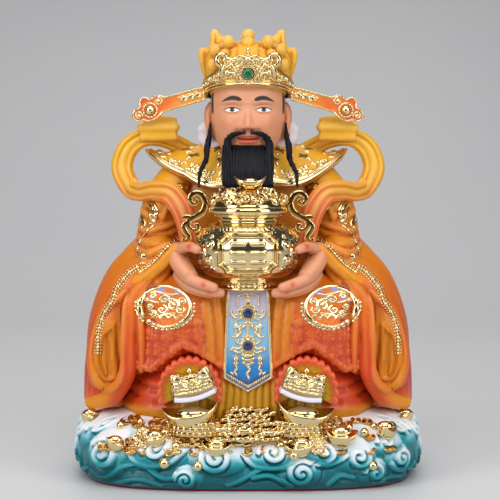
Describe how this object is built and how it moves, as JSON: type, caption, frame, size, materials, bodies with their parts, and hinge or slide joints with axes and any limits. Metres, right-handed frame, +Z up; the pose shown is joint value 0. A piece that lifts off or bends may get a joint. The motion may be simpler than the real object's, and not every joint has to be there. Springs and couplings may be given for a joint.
{
  "type": "seated wealth god figure",
  "caption": "Seated caishen figure in layered robes on a cloud base, with a winged court hat, a long beard and a plated treasure pot held on its lap.",
  "frame": {"origin": "on the ground under the middle of the cloud base, at the felt's underside", "axes": "+Z up, the figure faces -Y, +X to the right in the front view"},
  "size_m": [0.3138, 0.21, 0.4],
  "materials": {
    "painted_resin": "cast resin, airbrushed from yellow to orange and red, satin lacquer",
    "gold_plate": "pale gold electroplate, polished",
    "wing_enamel": "orange enamel with gold plated relief",
    "blue_gem": "polished dark blue cabochon",
    "green_gem": "polished green cabochon",
    "red_felt": "crimson felt, matt"
  },
  "bodies": {
    "root": {"figure": "painted_resin", "treasure_pot": "gold_plate", "hat_wing_left": "wing_enamel", "hat_wing_right": "wing_enamel", "apron_gem_upper": "blue_gem", "apron_gem_lower": "blue_gem", "hat_gem": "green_gem", "base_pad": "red_felt"}
  },
  "joints": []
}
